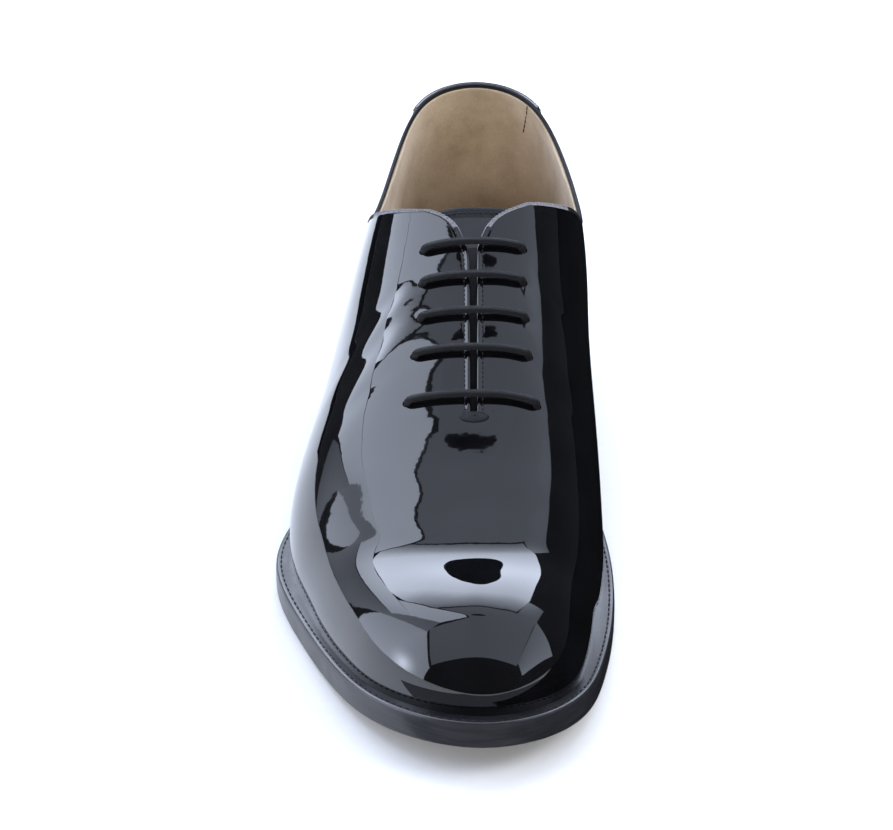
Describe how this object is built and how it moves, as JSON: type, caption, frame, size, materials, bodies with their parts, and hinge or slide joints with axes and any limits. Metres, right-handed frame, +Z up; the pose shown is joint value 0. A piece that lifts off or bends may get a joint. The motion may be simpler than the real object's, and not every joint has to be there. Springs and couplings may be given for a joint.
{
  "type": "oxford shoe",
  "caption": "Plain whole-cut oxford dress shoe for the right foot, in glossy patent leather, with closed bar lacing, a welted sole and a low stacked heel.",
  "frame": {"origin": "middle of the bounding box's base, on the floor", "axes": "+Z up, the toe towards -Y, the inner side of the right foot towards +X"},
  "size_m": [0.1064, 0.2902, 0.1013],
  "materials": {
    "upper_leather": "high-gloss patent",
    "counter_leather": "high-gloss patent",
    "tongue_leather": "gloss patent",
    "insole_leather": "matt lining leather",
    "welt_leather": "satin edge ink",
    "sole_leather": "satin edge ink",
    "heel_leather": "satin edge ink",
    "top_lift_rubber": "matt",
    "lace_cord": "waxed round cord"
  },
  "bodies": {
    "root": {"upper": "upper_leather", "heel_counter": "counter_leather", "tongue": "tongue_leather", "insole": "insole_leather", "welt": "welt_leather", "outsole": "sole_leather", "heel_stack": "heel_leather", "heel_top_lift": "top_lift_rubber", "lace": "lace_cord"}
  },
  "joints": []
}
